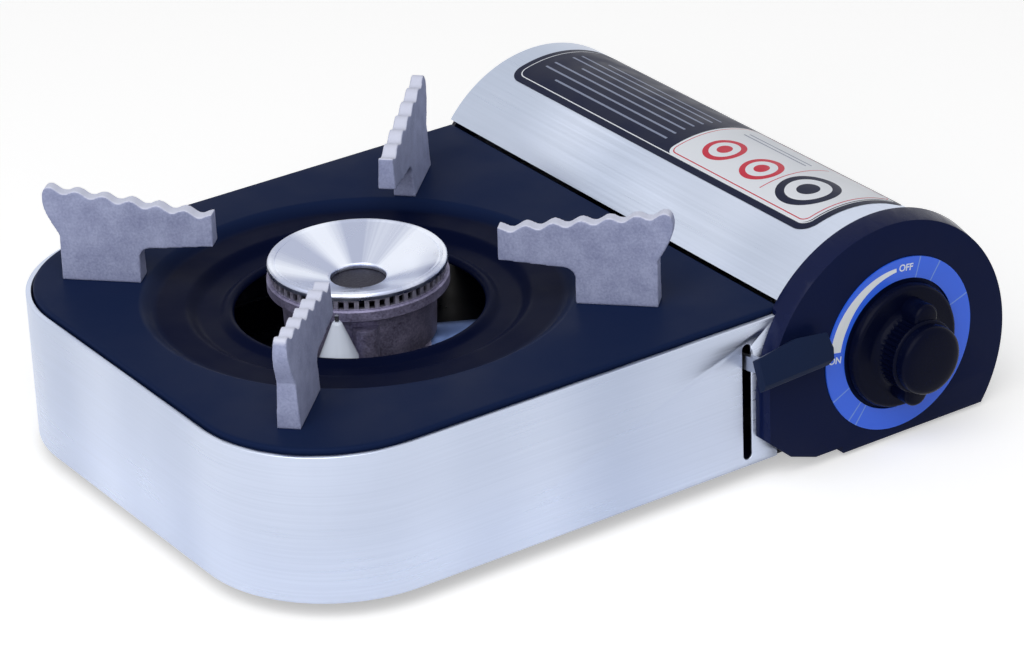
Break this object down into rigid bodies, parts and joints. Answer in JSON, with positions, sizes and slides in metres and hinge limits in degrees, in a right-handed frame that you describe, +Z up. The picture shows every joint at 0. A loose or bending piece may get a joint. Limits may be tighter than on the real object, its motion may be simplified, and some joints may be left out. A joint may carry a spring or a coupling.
{
  "type": "butane cassette stove",
  "caption": "Portable tabletop gas stove with a brushed steel body, wavy cast pan supports, a side cartridge bay with a hinged lid and a front control knob.",
  "frame": {"origin": "under the middle of the whole stove, on the surface that its feet stand on", "axes": "+X to the right for someone facing the knob, +Y to the back, +Z up"},
  "size_m": [0.3292, 0.2578, 0.1074],
  "materials": {
    "brushed_stainless": "brushed lengthwise, satin",
    "black_enamel": "baked enamel, satin black",
    "black_painted_steel": "powder coated, satin black",
    "zinc_plated_steel": "bright zinc plated",
    "cast_metal": "die cast, blasted",
    "polished_stainless": "polished",
    "brass": "turned",
    "black_plastic": "moulded, fine texture",
    "dial_blue": "printed and clear coated",
    "white_plastic": "moulded",
    "ceramic": "glazed ceramic",
    "rubber": "moulded rubber",
    "spring_steel": "drawn wire",
    "black_silicone": "silicone insulation"
  },
  "bodies": {
    "housing": {"outer_band": "brushed_stainless", "base_pan": "black_painted_steel", "bay_trough": "black_painted_steel", "bay_partition": "zinc_plated_steel", "bay_bulkhead": "zinc_plated_steel", "rear_end_plate": "black_painted_steel", "cartridge_cradle": "zinc_plated_steel", "rubber_feet": "rubber", "plate_rest_tabs": "zinc_plated_steel", "burner_body": "cast_metal", "burner_crown": "cast_metal", "burner_cap": "polished_stainless", "mixing_tube": "zinc_plated_steel", "burner_bracket": "zinc_plated_steel", "burner_screws": "zinc_plated_steel", "electrode_insulator": "ceramic", "electrode_pin": "spring_steel", "electrode_bracket": "zinc_plated_steel", "front_panel": "black_plastic", "panel_screws": "zinc_plated_steel", "dial_plate": "dial_blue", "piezo_igniter": "white_plastic", "regulator_body": "cast_metal", "regulator_diaphragm": "rubber", "regulator_cover": "zinc_plated_steel", "regulator_spring": "spring_steel", "regulator_screws": "zinc_plated_steel", "jet_nozzle": "brass", "cartridge_guide_ring": "zinc_plated_steel", "inlet_seal": "rubber", "ignition_lead": "black_silicone", "lead_grommet": "rubber", "lever_pivot_pin": "zinc_plated_steel", "lever_bracket": "zinc_plated_steel", "lever_spring": "spring_steel", "pusher_guides": "white_plastic", "body_hinge_leaf": "brushed_stainless", "cover_hinge_pin": "zinc_plated_steel", "cover_catch": "spring_steel", "base_screws": "zinc_plated_steel"},
    "top_grate": {"top_plate": "black_enamel", "pan_support_front": "cast_metal", "pan_support_left": "cast_metal", "pan_support_back": "cast_metal", "pan_support_right": "cast_metal", "support_screws": "zinc_plated_steel"},
    "knob": {"control_knob": "black_plastic", "valve_stem": "brass", "igniter_cam": "white_plastic"},
    "plunger": {"piezo_plunger": "white_plastic"},
    "lever": {"lever_arm": "zinc_plated_steel", "lever_grip": "black_plastic"},
    "pusher": {"cartridge_pusher": "zinc_plated_steel"},
    "lid": {"cartridge_cover": "brushed_stainless", "cover_hinge_leaf": "brushed_stainless"}
  },
  "joints": [
    {"name": "knob_turn", "type": "hinge", "parent": "housing", "child": "knob", "pos_m": [0.1092, -0.1071, 0.0413], "axis": [0, -1, 0], "range_deg": [0, 100]},
    {"name": "igniter_plunger_slide", "type": "slide", "parent": "housing", "child": "plunger", "axis": [-1, 0, 0], "range_m": [0, 0.004]},
    {"name": "cartridge_lever_hinge", "type": "hinge", "parent": "housing", "child": "lever", "pos_m": [0.0414, -0.0551, 0.042], "axis": [1, 0, 0], "range_deg": [0, 33]},
    {"name": "cartridge_pusher_slide", "type": "slide", "parent": "housing", "child": "pusher", "axis": [0, -1, 0], "range_m": [0, 0.0088]},
    {"name": "cartridge_lid_hinge", "type": "hinge", "parent": "housing", "child": "lid", "pos_m": [0.1626, 0.0159, 0.032], "axis": [0, 1, 0], "range_deg": [0, 100]},
    {"name": "top_plate_lift", "type": "slide", "parent": "housing", "child": "top_grate", "axis": [0, 0, 1], "range_m": [0, 0.06]}
  ],
  "couplings": [
    {"joint": "igniter_plunger_slide", "follows": "knob_turn", "m_per_rad": 0.002183},
    {"joint": "cartridge_pusher_slide", "follows": "cartridge_lever_hinge", "m_per_rad": 0.01513}
  ]
}
